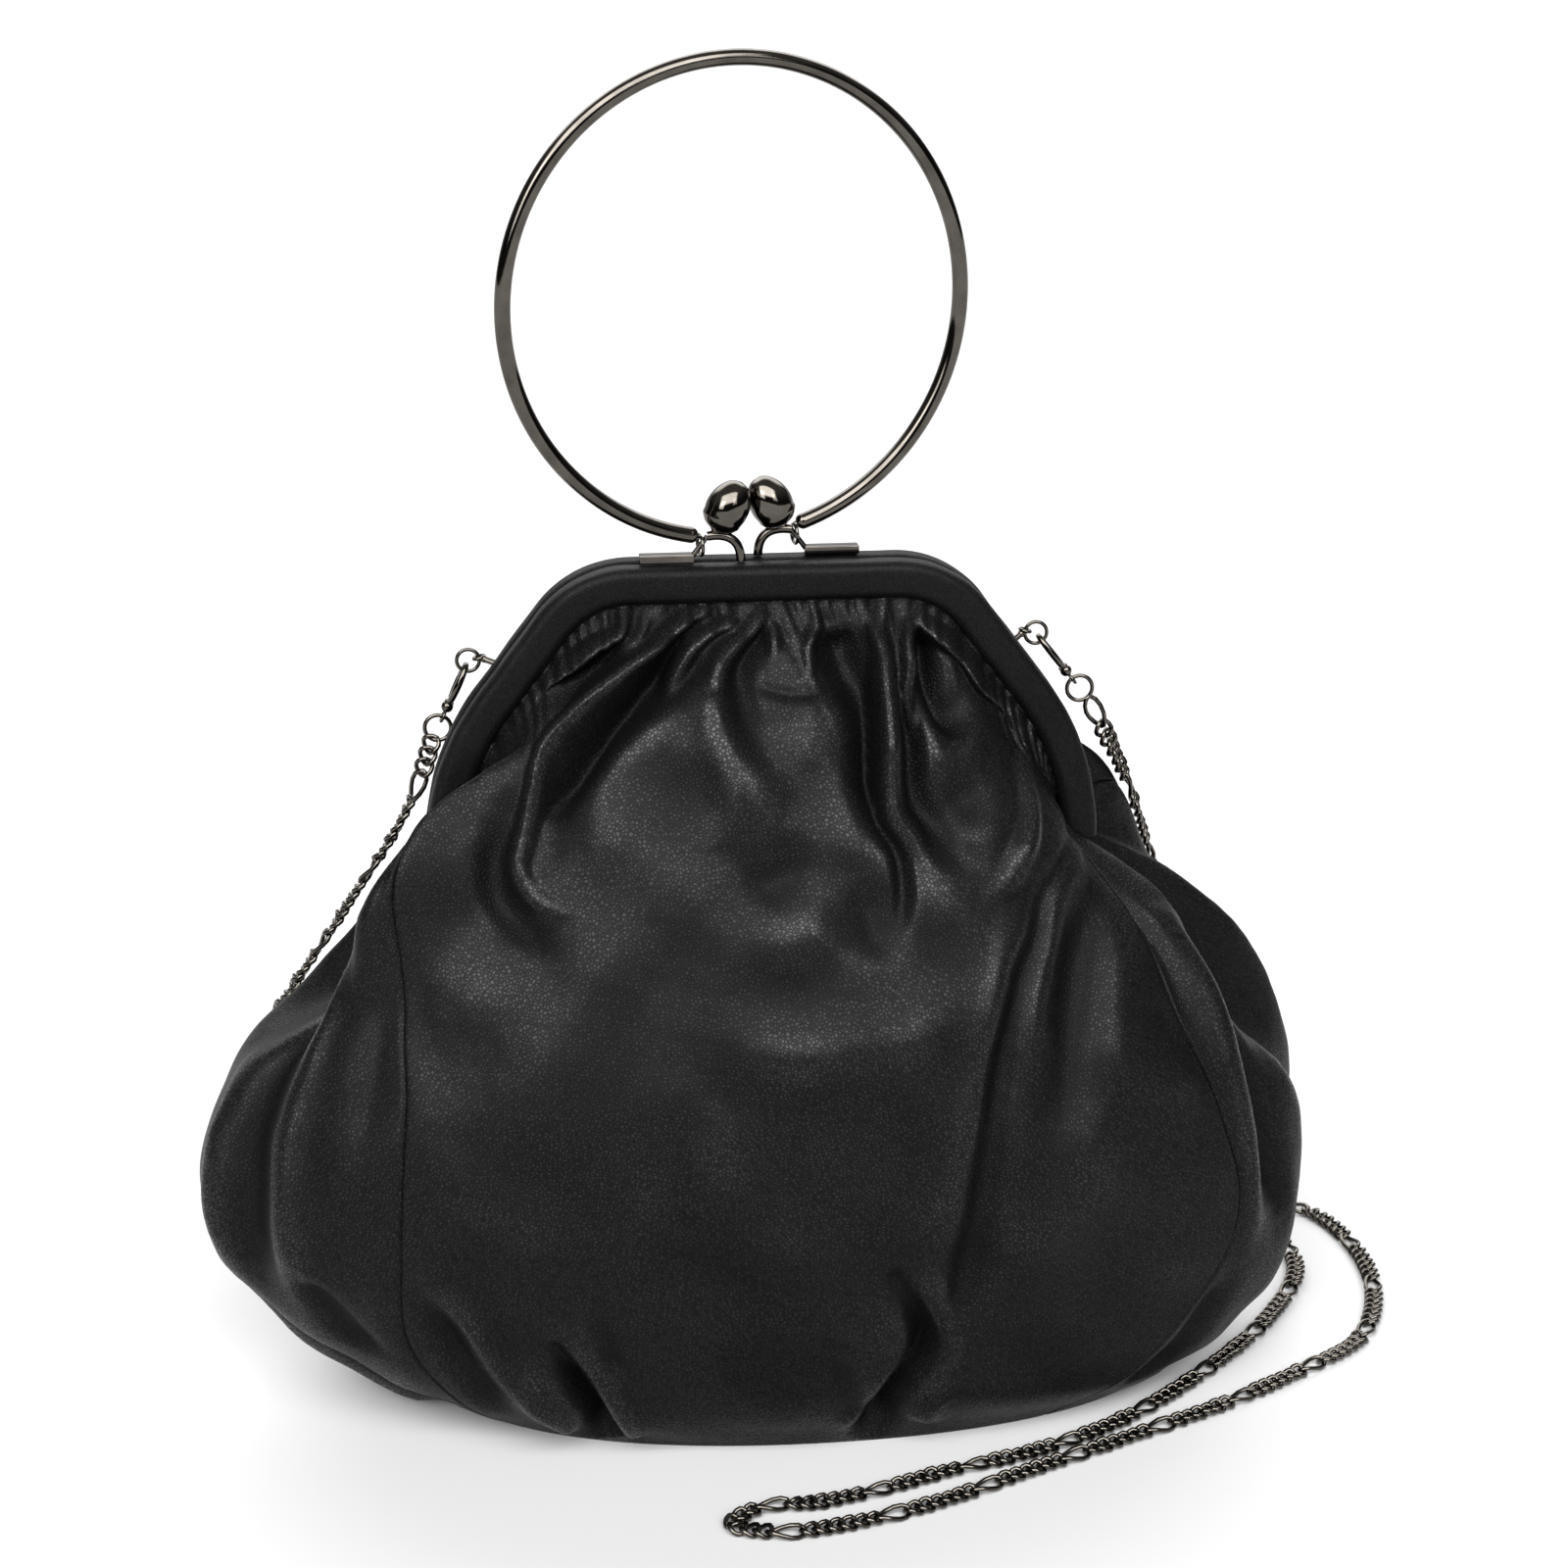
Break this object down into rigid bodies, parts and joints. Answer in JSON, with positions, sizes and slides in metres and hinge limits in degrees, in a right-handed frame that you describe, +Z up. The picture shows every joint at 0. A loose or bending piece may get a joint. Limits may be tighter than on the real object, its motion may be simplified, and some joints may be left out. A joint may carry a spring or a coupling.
{
  "type": "clasp pouch",
  "caption": "Soft gathered leather pouch on a leather-covered frame with a kiss-lock clasp, an upright metal ring handle that swings, and a shoulder chain on hooks.",
  "frame": {"origin": "on the underside of the flat base, under the middle of the frame, where the pouch rests on the surface", "axes": "+Z up, the front with the gathers faces -Y, +X to the right as seen from the front"},
  "size_m": [0.3514, 0.1949, 0.3774],
  "materials": {
    "pouch_leather": "soft black leather with a fine pebble grain and a satin sheen",
    "frame_leather": "the same leather drawn smooth over the frame",
    "gunmetal": "polished black nickel"
  },
  "bodies": {
    "pouch": {"front_panel": "pouch_leather", "back_panel": "pouch_leather", "gusset_left": "pouch_leather", "gusset_right": "pouch_leather", "frame_front": "frame_leather", "frame_back": "frame_leather", "hinge_left": "gunmetal", "hinge_right": "gunmetal", "clasp_left": "gunmetal", "clasp_right": "gunmetal", "post_left": "gunmetal", "post_right": "gunmetal", "side_ring_left": "gunmetal", "side_ring_right": "gunmetal", "hook_left": "gunmetal", "hook_right": "gunmetal", "end_ring_left": "gunmetal", "end_ring_right": "gunmetal", "shoulder_chain": "gunmetal"},
    "handle": {"ring_handle": "gunmetal"},
    "lever_left": {"hook_lever_left": "gunmetal"},
    "lever_right": {"hook_lever_right": "gunmetal"}
  },
  "joints": [
    {"name": "handle_swing", "type": "hinge", "parent": "pouch", "child": "handle", "pos_m": [-0.00385, 0, 0.2475], "axis": [0.9767, 0.21, 0.045], "range_deg": [-85, 85]},
    {"name": "lever_left_press", "type": "hinge", "parent": "pouch", "child": "lever_left", "pos_m": [-0.08444, 0.01472, 0.20191], "axis": [0.9063, 0, -0.4226], "range_deg": [0, 25], "stiffness_Nm_per_rad": 0.004, "springref_deg": -28.65},
    {"name": "lever_right_press", "type": "hinge", "parent": "pouch", "child": "lever_right", "pos_m": [0.0852, 0.01472, 0.20629], "axis": [0.788, 0, 0.6157], "range_deg": [0, 25], "stiffness_Nm_per_rad": 0.004, "springref_deg": -28.65}
  ]
}
